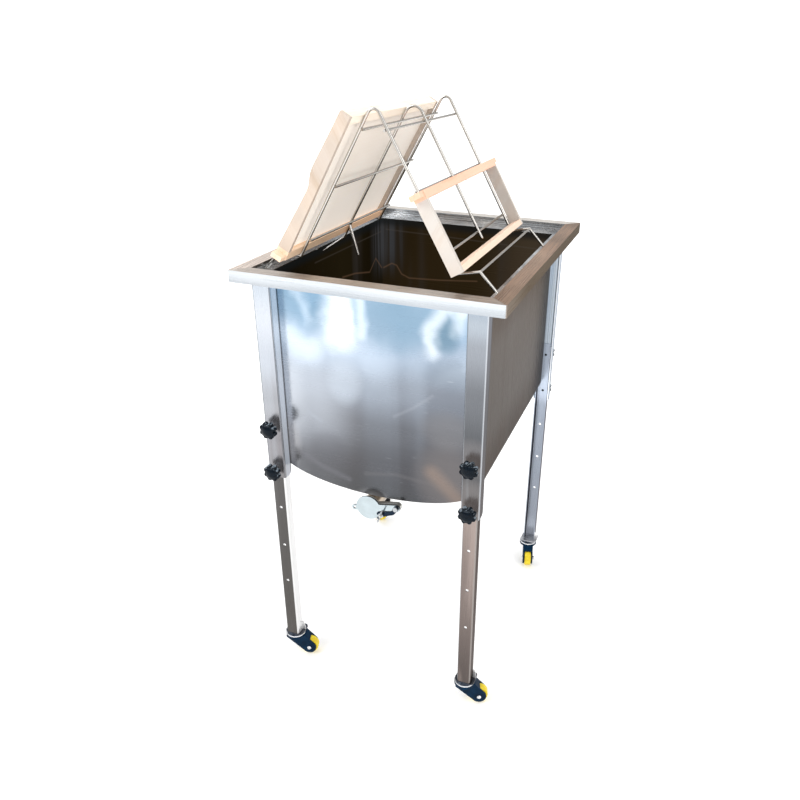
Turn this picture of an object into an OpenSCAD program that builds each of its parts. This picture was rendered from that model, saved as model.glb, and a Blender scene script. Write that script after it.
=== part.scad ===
// Uncapping tank on telescopic legs with casters, a honey gate and a wire
// stand that carries two hive frames.
// Millimetres, +Z up, origin on the floor below the middle of the rim.
// -Y is the front, where the honey gate is.

/* [Rim] */
// Outside width of the rim, left to right
rim_w = 560; // [556:1:564]
// Outside depth of the rim, front to back
rim_d = 706; // [702:1:712]
// Height of the top of the rim above the floor
rim_top = 994; // [990:1:1000]
// Width of the flat top flange
flange_w = 33; // [31:0.5:34]
// Height of the outer skirt
skirt_h = 24; // [20:1:28]
// Depth of the lid rebate below the flange
rebate_h = 15; // [13:1:17]
// Radius of the rim's outer corners
rim_r = 4; // [3:0.5:8]

/* [Tank body] */
// Sheet thickness
sheet = 2; // [1.6:0.1:2.2]
// Outside width of the tank body
body_w = 460; // [456:1:462]
// Distance of the front panel's face from the middle of the rim
body_front = 305; // [303:1:305]
// Distance of the back panel's face from the middle of the rim
body_back = 268; // [264:1:272]
// Height of the lowest line of the curved bottom above the floor
belly_z = 514; // [510:1:520]
// Depth of the curved bottom
belly_h = 70; // [60:1:80]

/* [Legs] */
// Place of the front legs, from the middle
front_leg_x = 223; // [221:0.5:223]
// Place of the back legs, from the middle
back_leg_x = 232.5; // [230:0.5:233]
// Width of a leg sleeve
sleeve_w = 40; // [38:0.5:40]
// Depth of a leg sleeve, out from the panel
sleeve_depth = 26; // [25.5:0.5:28]
// Height of the lower end of the sleeves
sleeve_bottom = 527; // [520:1:532]
// Width of a lower leg
leg_w = 32; // [30:0.5:33]
// Depth of a lower leg
leg_depth = 22; // [20:0.5:22.5]
// Height of the lower end of a lower leg at full length
leg_bottom = 72; // [72:1:72]
// Length of a lower leg
leg_len = 612; // [600:1:616]
// Height of the upper clamp screw
screw_z = 652; // [648:1:656]
// Spacing of the height holes and of the clamp screws
hole_pitch = 104; // [102:1:106]
// Number of height holes in a lower leg
hole_count = 5; // [3:1:5]
// Diameter of a height hole
hole_d = 7; // [6.5:0.5:8]

/* [Knobs] */
// Outside diameter of a star knob
knob_d = 40; // [36:1:42]
// Number of lobes
knob_lobes = 8; // [7:1:9]
// Thickness of the knob's head
knob_h = 14; // [12:1:16]
// Diameter of the clamp screw
stud_d = 6; // [6:1:6]

/* [Casters] */
// Wheel diameter
wheel_d = 42; // [40:1:42]
// Wheel width
wheel_w = 18; // [16:1:18]
// Distance of the axle behind the swivel axis
trail = 34; // [30:1:34]
// Axle diameter
axle_d = 6; // [5:0.5:7]
// Direction of the front left fork
az_fl = 16; // [-180:1:180]
// Direction of the front right fork
az_fr = 20; // [-180:1:180]
// Direction of the back left fork
az_bl = 140; // [-180:1:180]
// Direction of the back right fork
az_br = -75; // [-180:1:180]

/* [Honey gate] */
// Sideways place of the outlet
gate_x = -8; // [-12:1:0]
// Height of the outlet's axis
gate_z = 492; // [488:1:492]
// Inside diameter of the outlet
outlet_d = 34; // [30:1:36]
// Diameter of the gate plate
plate_d = 56; // [54:1:57]
// Distance from the outlet to the gate's pivot
pivot_dx = 66; // [64:1:68]
// Angle of the gate's arm, rising to the right
gate_tilt = 11; // [0:1:12]

/* [Wire stand] */
// Diameter of the hairpin rods
rod_d = 6; // [5:0.5:6]
// Diameter of the cross rods
cross_d = 5; // [4:0.5:5]
// Place of the front hairpin, front to back
pin_y1 = -269; // [-280:1:-260]
// Place of the middle hairpin, front to back
pin_y2 = -78; // [-90:1:-60]
// Place of the back hairpin, front to back
pin_y3 = 110; // [100:1:120]
// Height of the point where the slopes would meet, above the rim
peak = 309.7; // [305:0.1:315]
// Angle of the slopes from upright
lean = 29.4; // [28:0.1:31]

/* [Hive frames] */
// Length of a hive frame between the outsides of its side bars
frame_l = 435; // [430:1:440]
// Length of a lug
lug_l = 17.5; // [15:0.5:20]
// Height of the large hive frame
big_h = 300; // [290:1:300]
// Height of the small hive frame
small_h = 157; // [150:1:170]
// Place of the large frame's front end
big_y = -327; // [-330:1:-320]
// Place of the small frame's front end
small_y = -312; // [-316:1:-305]
// Thickness of a side bar
side_t = 9; // [8:0.5:12]

/* [Hidden] */
$fn = 48;

// rim and body
mouth_w = rim_w - 2 * flange_w;
mouth_d = rim_d - 2 * flange_w;
ledge_z = rim_top - rebate_h;            // top of the ledge
wall_top = ledge_z - sheet;              // top edge of the tank's sheets
belly_c = belly_z + belly_h;             // where the sides start to curve in
// legs
sleeve_face = body_front + sleeve_depth; // outer face of a front sleeve
back_shift = body_front - body_back;     // the back legs stand this much nearer to the middle
leg_face = sleeve_face - sheet - 0.4;    // outer face of a lower leg
lower_screw_z = screw_z - hole_pitch;
nut_h = 6.5;
stud_r = stud_d / 2;
// casters
caster_dx = -2;
caster_y = leg_face - 19.6;
plate_z = leg_bottom - 3;
wheel_r = wheel_d / 2;
axle_z = wheel_r;
axle_r = axle_d / 2;
// honey gate, planes from the tank outwards
vb0 = -(body_front + 3);                 // back of the valve body
vb1 = vb0 - 10;                          // its front face
outlet_r = outlet_d / 2;
pipe_r = outlet_r + 2;
drain_y = -body_front + 43;              // upright part of the drain pipe
clamp_u = 30;
clamp_w = -14;
// stand
rod_r = rod_d / 2;
cross_r = cross_d / 2;
foot = [mouth_w / 2 - 3.8, -rebate_h + rod_r + 0.3];
shelf = [205.3, 28];
knee = [(peak - 19.6) * tan(lean), 19.6];
// hive frames: s runs down a slope from the peak, n out from the rods' axis plane
seat_n = rod_r + 0.3;
seat_s = 329.5;
bar_w = 25;

// ---------- shared shapes ----------

// rectangle with round corners
module rrect(w, d, r) {
  union() {
    square([w - 2 * r, d], center = true);
    square([w, d - 2 * r], center = true);
    for (sx = [-1, 1], sy = [-1, 1])
      translate([sx * (w / 2 - r), sy * (d / 2 - r)]) circle(r = r);
  }
}

// flat ring between two rectangles
module ring_plate(z0, z1, wo, do, wi, di, ro = 0, ri = 0) {
  translate([0, 0, z0]) linear_extrude(z1 - z0) difference() {
    if (ro > 0) rrect(wo, do, ro); else square([wo, do], center = true);
    if (ri > 0) rrect(wi, di, ri); else square([wi, di], center = true);
  }
}

// points of the curved bottom, from the right side to the left
function belly(a, b, n) = [for (i = [0 : n]) [a * cos(180 * i / n), belly_c - b * sin(180 * i / n)]];

// outline of the tank body seen from the front
module body_outline(inset) {
  a = body_w / 2 - inset;
  polygon(concat([[a, wall_top + (inset > 0 ? 1 : 0)]], belly(a, belly_h - inset, 44), [[-a, wall_top + (inset > 0 ? 1 : 0)]]));
}

// stand a front-view outline up, from y0 to y1
module upright(y0, y1) {
  translate([0, y1, 0]) rotate([90, 0, 0]) linear_extrude(y1 - y0) children();
}

// folded channel: web along y = 0, flanges towards +y
module channel(w, d, t, r) {
  difference() {
    union() {
      translate([-w / 2, r]) square([w, d - r]);
      translate([-w / 2 + r, 0]) square([w - 2 * r, d]);
      for (s = [-1, 1]) translate([s * (w / 2 - r), r]) circle(r = r);
    }
    union() {
      translate([-w / 2 + t, r]) square([w - 2 * t, d]);
      translate([-w / 2 + r, t]) square([w - 2 * r, d]);
      for (s = [-1, 1]) translate([s * (w / 2 - r), r]) circle(r = r - t);
    }
  }
}

// middle of a leg from the centre plane, front or back
function leg_x(sy) = sy < 0 ? front_leg_x : back_leg_x;

// place of something at a leg, front to back, from its distance at the front
function leg_y(sy, d) = sy < 0 ? -d : d - back_shift;

// put a piece at a leg: sx is left or right, sy front or back, face is the distance of its outer face
module at_leg(sx, sy, face) {
  translate([sx * leg_x(sy), leg_y(sy, face), 0])
    if (sy < 0) children();
    else mirror([0, 1, 0]) children();
}

// round hole or pin along y, at a height
module along_y(z, y0, y1, r) {
  translate([0, y0, z]) rotate([-90, 0, 0]) cylinder(r = r, h = y1 - y0);
}

// ---------- rim and body ----------

module rim() {
  color("gainsboro") union() {
    ring_plate(rim_top - sheet, rim_top, rim_w, rim_d, mouth_w, mouth_d, rim_r, 2);
    ring_plate(rim_top - skirt_h, rim_top - sheet, rim_w, rim_d, rim_w - 2 * sheet, rim_d - 2 * sheet, rim_r, rim_r - sheet);
    ring_plate(rim_top - skirt_h, rim_top - skirt_h + sheet, rim_w - 2 * sheet, rim_d - 2 * sheet, rim_w - 24, rim_d - 24, rim_r - sheet, 1);
  }
}

module rebate_ledge() {
  color("silver") union() {
    translate([0, 0, wall_top]) linear_extrude(sheet) difference() {
      rrect(mouth_w + 2 * sheet, mouth_d + 2 * sheet, 2 + sheet);
      translate([0, -back_shift / 2]) rrect(body_w - 2 * sheet, body_front + body_back - 2 * sheet, 1);
    }
    ring_plate(ledge_z, rim_top - sheet, mouth_w + 2 * sheet, mouth_d + 2 * sheet, mouth_w, mouth_d, 2 + sheet, 2);
  }
}

module trough_shell() {
  color("rosybrown") difference() {
    upright(-body_front + sheet, body_back - sheet) difference() {
      body_outline(0);
      body_outline(sheet);
    }
    translate([gate_x, drain_y, belly_z - 5]) cylinder(r = pipe_r + 0.05, h = 20);
  }
}

module front_panel() {
  color("lightsteelblue") upright(-body_front, -body_front + sheet) body_outline(0);
}

module back_panel() {
  color("lightsteelblue") upright(body_back - sheet, body_back) body_outline(0);
}

// ---------- legs ----------

module sleeve(sx, sy) {
  q = 9;
  color("silver") at_leg(sx, sy, sleeve_face) difference() {
    translate([0, 0, sleeve_bottom]) linear_extrude(wall_top - sleeve_bottom) channel(sleeve_w, sleeve_depth, sheet, 3.4);
    for (z = [screw_z, lower_screw_z]) along_y(z, -1, sheet + 1, stud_r + 0.2);
    // round lower corners of the two flanges
    difference() {
      translate([-sleeve_w, sleeve_depth - q, sleeve_bottom - 1]) cube([2 * sleeve_w, q + 1, q + 1]);
      translate([-sleeve_w - 1, sleeve_depth - q, sleeve_bottom + q]) rotate([0, 90, 0]) cylinder(r = q, h = 2 * sleeve_w + 2);
    }
  }
}

module leg(sx, sy) {
  color("silver") at_leg(sx, sy, leg_face) difference() {
    translate([0, 0, leg_bottom]) linear_extrude(leg_len) channel(leg_w, leg_depth, sheet, 4.5);
    for (i = [0 : hole_count - 1]) along_y(screw_z - i * hole_pitch, -1, sheet + 1, hole_d / 2);
  }
}

module weld_nuts() {
  color("dimgray") for (sx = [-1, 1], sy = [-1, 1], z = [screw_z, lower_screw_z])
    at_leg(sx, sy, sleeve_face) translate([0, 0, z]) rotate([90, 0, 0]) difference() {
      cylinder(r = 8, h = nut_h, $fn = 6);
      translate([0, 0, -1]) cylinder(r = stud_r + 0.05, h = nut_h + 2);
    }
}

// star knob with its clamp screw, the screw's end just short of the lower leg
module knob(sx, sy, z) {
  h0 = nut_h + 0.3;
  h1 = h0 + 5;
  h2 = h1 + knob_h;
  lobe = knob_d / 8;
  color([0.06, 0.07, 0.08]) at_leg(sx, sy, sleeve_face) translate([0, 0, z]) rotate([90, 0, 0]) union() {
    translate([0, 0, -sheet]) cylinder(r = stud_r, h = h1 + sheet + 1);
    translate([0, 0, h0]) cylinder(r1 = 8, r2 = 10, h = h1 - h0);
    translate([0, 0, h1 + 0.6]) cylinder(r = knob_d / 2 - lobe * 1.05, h = knob_h - 0.6);
    // lobes with bevelled ends
    for (i = [0 : knob_lobes - 1]) rotate([0, 0, 360 * (i + 0.5) / knob_lobes]) translate([knob_d / 2 - lobe, 0, h1]) union() {
      cylinder(r1 = lobe - 2, r2 = lobe, h = 3);
      translate([0, 0, 3]) cylinder(r = lobe, h = knob_h - 6.8);
      translate([0, 0, knob_h - 3.8]) cylinder(r1 = lobe, r2 = lobe - 2, h = 3);
    }
    // domed middle
    intersection() {
      translate([0, 0, h2 - 20]) rotate([90, 0, 0]) sphere(r = 24);
      translate([0, 0, h2]) cylinder(r = 14, h = 6);
    }
  }
}

// ---------- casters ----------

module at_caster(sx, sy, az) {
  translate([sx * leg_x(sy) + caster_dx, leg_y(sy, caster_y), 0]) rotate([0, 0, az]) children();
}

// top plate with its upright tab, ball race and king pin
module caster_plate(sx, sy) {
  x0 = sx * leg_x(sy) + leg_w / 2;
  color("slategray") union() {
    translate([sx * leg_x(sy) + caster_dx, leg_y(sy, caster_y), 0]) union() {
      translate([3, 0, plate_z]) linear_extrude(3) rrect(46, 40, 9);
      translate([0, 0, plate_z - 3.5]) cylinder(r1 = 22.5, r2 = 19.5, h = 3.5);
      translate([0, 0, plate_z - 6]) cylinder(r = 22.5, h = 2.5);
      translate([0, 0, plate_z - 9]) cylinder(r = 23.8, h = 3);
      translate([0, 0, plate_z - 15]) cylinder(r = 5, h = 7);
    }
    translate([0, leg_y(sy, leg_face - leg_depth) + 1, 0]) rotate([90, 0, 0]) linear_extrude(2)
      polygon([[x0 + 0.3, leg_bottom], [x0 + 8, leg_bottom], [x0 + 8, leg_bottom + 8],
               [x0 + 5, leg_bottom + 22], [x0 + 0.3, leg_bottom + 24]]);
  }
}

module fork(sx, sy, az) {
  top = plate_z - 9.3;
  color([0.07, 0.13, 0.27]) at_caster(sx, sy, az) difference() {
    union() {
      translate([0, 0, top - 6]) cylinder(r = 24.5, h = 6);
      // hood that sweeps down to the axle, hollow round the wheel
      difference() {
        translate([0, 14, 0]) rotate([90, 0, 0]) linear_extrude(28) hull() {
          translate([trail, axle_z]) circle(r = 17, $fn = 36);
          translate([-17, top - 5.5]) circle(r = 5, $fn = 32);
          translate([21, top - 5.6]) circle(r = 5, $fn = 32);
        }
        translate([trail, -10.2, axle_z]) rotate([-90, 0, 0]) cylinder(r = wheel_r + 2.5, h = 20.4);
      }
    }
    translate([0, 0, top - 20]) cylinder(r = 5.05, h = 30);
    translate([trail, -20, axle_z]) rotate([-90, 0, 0]) cylinder(r = axle_r + 0.02, h = 40);
  }
}

module axle(sx, sy, az) {
  color("gainsboro") at_caster(sx, sy, az) translate([trail, 0, axle_z]) rotate([90, 0, 0]) union() {
    translate([0, 0, -15.5]) cylinder(r = axle_r, h = 31);
    translate([0, 0, 14.1]) cylinder(r = 5, h = 2);
    translate([0, 0, 16.1]) cylinder(r1 = 4.6, r2 = 3, h = 1.6);
    translate([0, 0, -18.3]) cylinder(r = 5.5, h = 4.2, $fn = 6);
  }
}

module wheel(sx, sy, az) {
  w = wheel_w / 2;
  color([0.96, 0.80, 0.08]) at_caster(sx, sy, az) translate([trail, 0, axle_z]) rotate([90, 0, 0]) difference() {
    rotate_extrude() union() {
      // hub, web and rounded tread
      translate([0, -w - 0.6]) square([8, wheel_w + 1.2]);
      translate([0, -w + 3]) square([wheel_r - 4, wheel_w - 6]);
      translate([wheel_r - 9, -w]) square([6, wheel_w]);
      translate([wheel_r - 9, -w + 3]) square([9, wheel_w - 6]);
      for (y = [-w + 3, w - 3]) translate([wheel_r - 3, y]) circle(r = 3, $fn = 24);
    }
    translate([0, 0, -w - 2]) cylinder(r = axle_r + 0.05, h = wheel_w + 4);
  }
}

// ---------- honey gate ----------

// put a front-view piece at the outlet, from depth y0 to y1
module at_gate(y0, y1) {
  translate([gate_x, y1, gate_z]) rotate([90, 0, 0]) rotate([0, 0, gate_tilt]) linear_extrude(y1 - y0) children();
}

module drain_pipe() {
  color("tan") difference() {
    union() {
      translate([gate_x, vb0, gate_z]) rotate([-90, 0, 0]) cylinder(r = pipe_r, h = drain_y - vb0);
      translate([gate_x, drain_y, gate_z]) cylinder(r = pipe_r, h = belly_z + 2 - gate_z);
      translate([gate_x, drain_y, gate_z]) sphere(r = pipe_r);
    }
    translate([gate_x, vb0 - 1, gate_z]) rotate([-90, 0, 0]) cylinder(r = outlet_r, h = drain_y - vb0 + 1);
    translate([gate_x, drain_y, gate_z]) cylinder(r = outlet_r, h = 60);
    translate([gate_x, drain_y, gate_z]) sphere(r = outlet_r);
  }
}

module valve_body() {
  color("silver") union() {
    difference() {
      union() {
        at_gate(vb1, vb0) circle(r = 21);
        at_gate(vb1, vb0) translate([17, -9]) square([pivot_dx - 17, 18]);
        at_gate(vb1, vb0) translate([pivot_dx, 0]) circle(r = 9);
        at_gate(vb1, vb0) translate([clamp_u, clamp_w]) circle(r = 7);
        at_gate(vb1, vb0) translate([clamp_u - 13, clamp_w]) square([20, 14]);
      }
      at_gate(vb1 - 1, vb0 + 1) circle(r = outlet_r);
      at_gate(vb1 - 1, vb0 + 1) translate([pivot_dx, 0]) circle(r = 3);
    }
    at_gate(vb1 - 17, vb1) translate([clamp_u, clamp_w]) circle(r = 2.5);
  }
}

module valve_seal() {
  color("black") at_gate(vb1 - 0.9, vb1) difference() {
    circle(r = 20.4);
    circle(r = 17.6);
  }
}

module gate_plate() {
  color("whitesmoke") at_gate(vb1 - 4.2, vb1 - 1.2) difference() {
    union() {
      circle(r = plate_d / 2);
      translate([-33, -6.5]) square([33, 13]);
      translate([-33, 0]) circle(r = 6.5);
      translate([0, -8]) square([pivot_dx, 16]);
      translate([pivot_dx, 0]) circle(r = 8);
    }
    translate([-33, 0]) circle(r = 3.2);
    translate([pivot_dx, 0]) circle(r = 3.06);
  }
}

module pivot_screw() {
  color("gainsboro") union() {
    at_gate(vb1 - 6.7, vb0) translate([pivot_dx, 0]) circle(r = 3);
    at_gate(vb1 - 9.7, vb1 - 6.7) translate([pivot_dx, 0]) circle(r = 6, $fn = 6);
  }
}

// springy clip that presses the gate plate on its seat
module clamp_clip() {
  color("slategray") at_gate(vb1 - 6.6, vb1 - 4.6) difference() {
    union() {
      hull() {
        translate([pivot_dx, 0]) circle(r = 6, $fn = 32);
        translate([pivot_dx - 10, -11]) circle(r = 4, $fn = 32);
      }
      hull() {
        translate([pivot_dx - 10, -11]) circle(r = 4, $fn = 32);
        translate([clamp_u, clamp_w]) circle(r = 5.5, $fn = 32);
      }
      hull() {
        translate([clamp_u, clamp_w]) circle(r = 5.5, $fn = 32);
        translate([clamp_u - 8, clamp_w + 1]) circle(r = 3.5, $fn = 32);
      }
    }
    translate([pivot_dx, 0]) circle(r = 3.05);
    translate([clamp_u, clamp_w]) circle(r = 2.6);
  }
}

module wing_nut() {
  color("gainsboro") difference() {
    union() {
      at_gate(vb1 - 12.4, vb1 - 6.9) translate([clamp_u, clamp_w]) circle(r = 5.5);
      for (s = [-1, 1]) translate([gate_x + clamp_u * cos(gate_tilt) - clamp_w * sin(gate_tilt), vb1 - 9.4, gate_z + clamp_u * sin(gate_tilt) + clamp_w * cos(gate_tilt)]) rotate([0, 20, 0])
        translate([0, 0, s * 4]) rotate([s * 32, 0, 0]) translate([0, 0, s > 0 ? 0 : -11])
          union() {
            translate([-1.3, -3, 0]) cube([2.6, 6, 11]);
            translate([-1.3, 0, s > 0 ? 11 : 0]) rotate([0, 90, 0]) cylinder(r = 3.6, h = 2.6);
          }
    }
    at_gate(vb1 - 30, vb1) translate([clamp_u, clamp_w]) circle(r = 2.57);
  }
}

// ---------- wire stand ----------

// straight rod between two points
module rod(p, q, r) {
  d = q - p;
  l = norm(d);
  translate(p) rotate([0, acos(d[2] / l), atan2(d[1], d[0])]) cylinder(r = r, h = l);
}

// one arm of a hairpin, from the bend at the top down to its end
module arm(y, side, pts) {
  for (i = [0 : len(pts) - 2])
    rod([side * pts[i][0], y, rim_top + pts[i][1]], [side * pts[i + 1][0], y, rim_top + pts[i + 1][1]], rod_r);
  for (i = [0 : len(pts) - 1])
    translate([side * pts[i][0], y, rim_top + pts[i][1]]) sphere(r = rod_r + 0.04);
}

// rounded top bend of a hairpin, radius b
module top_bend(y, b) {
  translate([0, y, rim_top + peak - b / sin(lean)]) rotate([90, 0, 0]) rotate([0, 0, lean])
    rotate_extrude(angle = 180 - 2 * lean) translate([b, 0]) circle(r = rod_r);
}

// where the top bend of radius b runs into the slope
function bend_end(b) = [b * cos(lean), peak - b * cos(lean) / tan(lean)];

module long_hairpin(y) {
  b = 12.4;
  color("gainsboro") union() {
    top_bend(y, b);
    for (s = [-1, 1]) arm(y, s, [bend_end(b), knee, shelf, foot]);
  }
}

module hairpin_front() { long_hairpin(pin_y1); }
module hairpin_back() { long_hairpin(pin_y3); }

// the middle hairpin is short; its left arm bends inwards at the end, and a
// second prong is welded beside it
module hairpin_middle() {
  b = 19.5;
  tip = [(peak - 44) * tan(lean), 44];
  low = 14;
  py = pin_y2 + rod_r + cross_r - 0.6;
  color("gainsboro") union() {
    top_bend(pin_y2, b);
    arm(pin_y2, 1, [bend_end(b), tip]);
    arm(pin_y2, -1, [bend_end(b), tip, [132, -20]]);
    rod([-(peak - 48) * tan(lean), py, rim_top + 48], [-(peak - low) * tan(lean), py, rim_top + low], cross_r);
    translate([-(peak - low) * tan(lean), py, rim_top + low]) sphere(r = cross_r + 0.04);
    rod([-(peak - low) * tan(lean), py, rim_top + low], [-219, py, rim_top - 22], cross_r);
    translate([-219, py, rim_top - 22]) sphere(r = cross_r + 0.04);
  }
}

// rods along the slopes, under the hairpins
module cross_rods() {
  in = rod_r + cross_r - 0.15;
  color("gainsboro") for (s = [-1, 1], z = [264, 161.5, 55.5])
    translate([s * ((peak - z) * tan(lean) - in * cos(lean)), pin_y1 - 4, rim_top + z - in * sin(lean)])
      rotate([-90, 0, 0]) cylinder(r = cross_r, h = pin_y3 - pin_y1 + 8);
}

// rods between the front and back hairpins, along the two shelves
module shelf_rods() {
  color("gainsboro") for (s = [-1, 1])
    translate([s * shelf[0], pin_y1 + rod_r - 0.15, rim_top + shelf[1]])
      rotate([-90, 0, 0]) cylinder(r = cross_r, h = pin_y3 - pin_y1 - 2 * rod_r + 0.3);
}

// ---------- hive frames ----------

// on a slope: children drawn with x = s, y = n, z = front to back
module on_slope(side, y) {
  translate([0, y, rim_top + peak])
    if (side > 0) rotate([0, 90 - lean, 0]) rotate([90, 0, 0]) mirror([0, 0, 1]) children();
    else mirror([1, 0, 0]) rotate([0, 90 - lean, 0]) rotate([90, 0, 0]) mirror([0, 0, 1]) children();
}

// bar across a frame, from s0 to s1 and n0 to n1, with lugs of length e
module cross_bar(side, y, s0, s1, n0, n1, e) {
  on_slope(side, y) union() {
    translate([s0, n0, 0]) cube([s1 - s0, n1 - n0, frame_l]);
    if (e > 0) translate([s0, n0 + 1.5, -e]) cube([10, n1 - n0 - 3, frame_l + 2 * e]);
  }
}

// the large frame stands on its lug bar, the upper end of the frame down
module large_frame_lug_bar() {
  color("burlywood") on_slope(-1, big_y) union() {
    translate([seat_s - 18, seat_n, 0]) cube([18, bar_w, frame_l]);
    translate([seat_s - 10, seat_n + 1.5, -lug_l]) cube([10, bar_w - 3, frame_l + 2 * lug_l]);
  }
}

module large_frame_plain_bar() {
  color("wheat") on_slope(-1, big_y) translate([seat_s - big_h, seat_n + 1, side_t]) cube([16, 20, frame_l - 2 * side_t]);
}

// side bars with a wider shoulder
module large_frame_side_bars() {
  s0 = seat_s - big_h;
  s1 = seat_s - 18;
  color("wheat") on_slope(-1, big_y) for (z = [0, frame_l - side_t]) translate([0, 0, z]) linear_extrude(side_t)
    polygon([[s0, seat_n], [s1, seat_n], [s1, seat_n + 25], [s0 + 200, seat_n + 20], [s0 + 156, seat_n + 17.5],
             [s0 + 147, seat_n + 18.2], [s0 + 136, seat_n + 21.5], [s0 + 126, seat_n + 24.6], [s0 + 114, seat_n + 26],
             [s0 + 100, seat_n + 25.6], [s0 + 30, seat_n + 22], [s0, seat_n + 21]]);
}

module foundation_sheet() {
  color([0.95, 0.92, 0.86]) on_slope(-1, big_y)
    translate([seat_s - big_h + 16, seat_n + 9.5, side_t]) cube([big_h - 34, 3, frame_l - 2 * side_t]);
}

module small_frame_lug_bar() {
  s0 = seat_s - small_h;
  color("wheat") cross_bar(1, small_y, s0, s0 + 16, seat_n, seat_n + bar_w, lug_l);
}

module small_frame_plain_bar() {
  color("wheat") on_slope(1, small_y) translate([seat_s - 12, seat_n, side_t]) cube([12, bar_w, frame_l - 2 * side_t]);
}

module small_frame_side_bars() {
  s0 = seat_s - small_h + 16;
  color("wheat") on_slope(1, small_y) for (z = [0, frame_l - side_t])
    translate([s0, seat_n, z]) cube([small_h - 16, bar_w, side_t]);
}

// ---------- one module per repeated node ----------

module sleeve_front_left() { sleeve(-1, -1); }
module sleeve_front_right() { sleeve(1, -1); }
module sleeve_back_left() { sleeve(-1, 1); }
module sleeve_back_right() { sleeve(1, 1); }
module leg_front_left() { leg(-1, -1); }
module leg_front_right() { leg(1, -1); }
module leg_back_left() { leg(-1, 1); }
module leg_back_right() { leg(1, 1); }
module caster_plate_front_left() { caster_plate(-1, -1); }
module caster_plate_front_right() { caster_plate(1, -1); }
module caster_plate_back_left() { caster_plate(-1, 1); }
module caster_plate_back_right() { caster_plate(1, 1); }
module fork_front_left() { fork(-1, -1, az_fl); }
module fork_front_right() { fork(1, -1, az_fr); }
module fork_back_left() { fork(-1, 1, az_bl); }
module fork_back_right() { fork(1, 1, az_br); }
module axle_front_left() { axle(-1, -1, az_fl); }
module axle_front_right() { axle(1, -1, az_fr); }
module axle_back_left() { axle(-1, 1, az_bl); }
module axle_back_right() { axle(1, 1, az_br); }
module wheel_front_left() { wheel(-1, -1, az_fl); }
module wheel_front_right() { wheel(1, -1, az_fr); }
module wheel_back_left() { wheel(-1, 1, az_bl); }
module wheel_back_right() { wheel(1, 1, az_br); }
module knob_front_left_upper() { knob(-1, -1, screw_z); }
module knob_front_left_lower() { knob(-1, -1, lower_screw_z); }
module knob_front_right_upper() { knob(1, -1, screw_z); }
module knob_front_right_lower() { knob(1, -1, lower_screw_z); }
module knob_back_left_upper() { knob(-1, 1, screw_z); }
module knob_back_left_lower() { knob(-1, 1, lower_screw_z); }
module knob_back_right_upper() { knob(1, 1, screw_z); }
module knob_back_right_lower() { knob(1, 1, lower_screw_z); }

rim();
rebate_ledge();
trough_shell();
front_panel();
back_panel();
sleeve_front_left();
sleeve_front_right();
sleeve_back_left();
sleeve_back_right();
weld_nuts();
drain_pipe();
valve_body();
valve_seal();
pivot_screw();
clamp_clip();
gate_plate();
wing_nut();
leg_front_left();
leg_front_right();
leg_back_left();
leg_back_right();
caster_plate_front_left();
caster_plate_front_right();
caster_plate_back_left();
caster_plate_back_right();
fork_front_left();
fork_front_right();
fork_back_left();
fork_back_right();
axle_front_left();
axle_front_right();
axle_back_left();
axle_back_right();
wheel_front_left();
wheel_front_right();
wheel_back_left();
wheel_back_right();
knob_front_left_upper();
knob_front_left_lower();
knob_front_right_upper();
knob_front_right_lower();
knob_back_left_upper();
knob_back_left_lower();
knob_back_right_upper();
knob_back_right_lower();
hairpin_front();
hairpin_middle();
hairpin_back();
cross_rods();
shelf_rods();
large_frame_lug_bar();
large_frame_plain_bar();
large_frame_side_bars();
foundation_sheet();
small_frame_lug_bar();
small_frame_plain_bar();
small_frame_side_bars();
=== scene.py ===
import math

import bpy
from mathutils import Matrix, Vector

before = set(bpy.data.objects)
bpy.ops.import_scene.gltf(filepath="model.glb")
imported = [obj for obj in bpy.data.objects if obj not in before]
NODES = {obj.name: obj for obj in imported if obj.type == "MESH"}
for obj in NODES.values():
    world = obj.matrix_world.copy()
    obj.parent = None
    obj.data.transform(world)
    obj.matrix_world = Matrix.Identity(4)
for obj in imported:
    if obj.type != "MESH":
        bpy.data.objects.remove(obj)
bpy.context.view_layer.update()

SCENE = bpy.context.scene
SIDES = ("front_left", "front_right", "back_left", "back_right")


# ---------------------------------------------------------------- node helper

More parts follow.
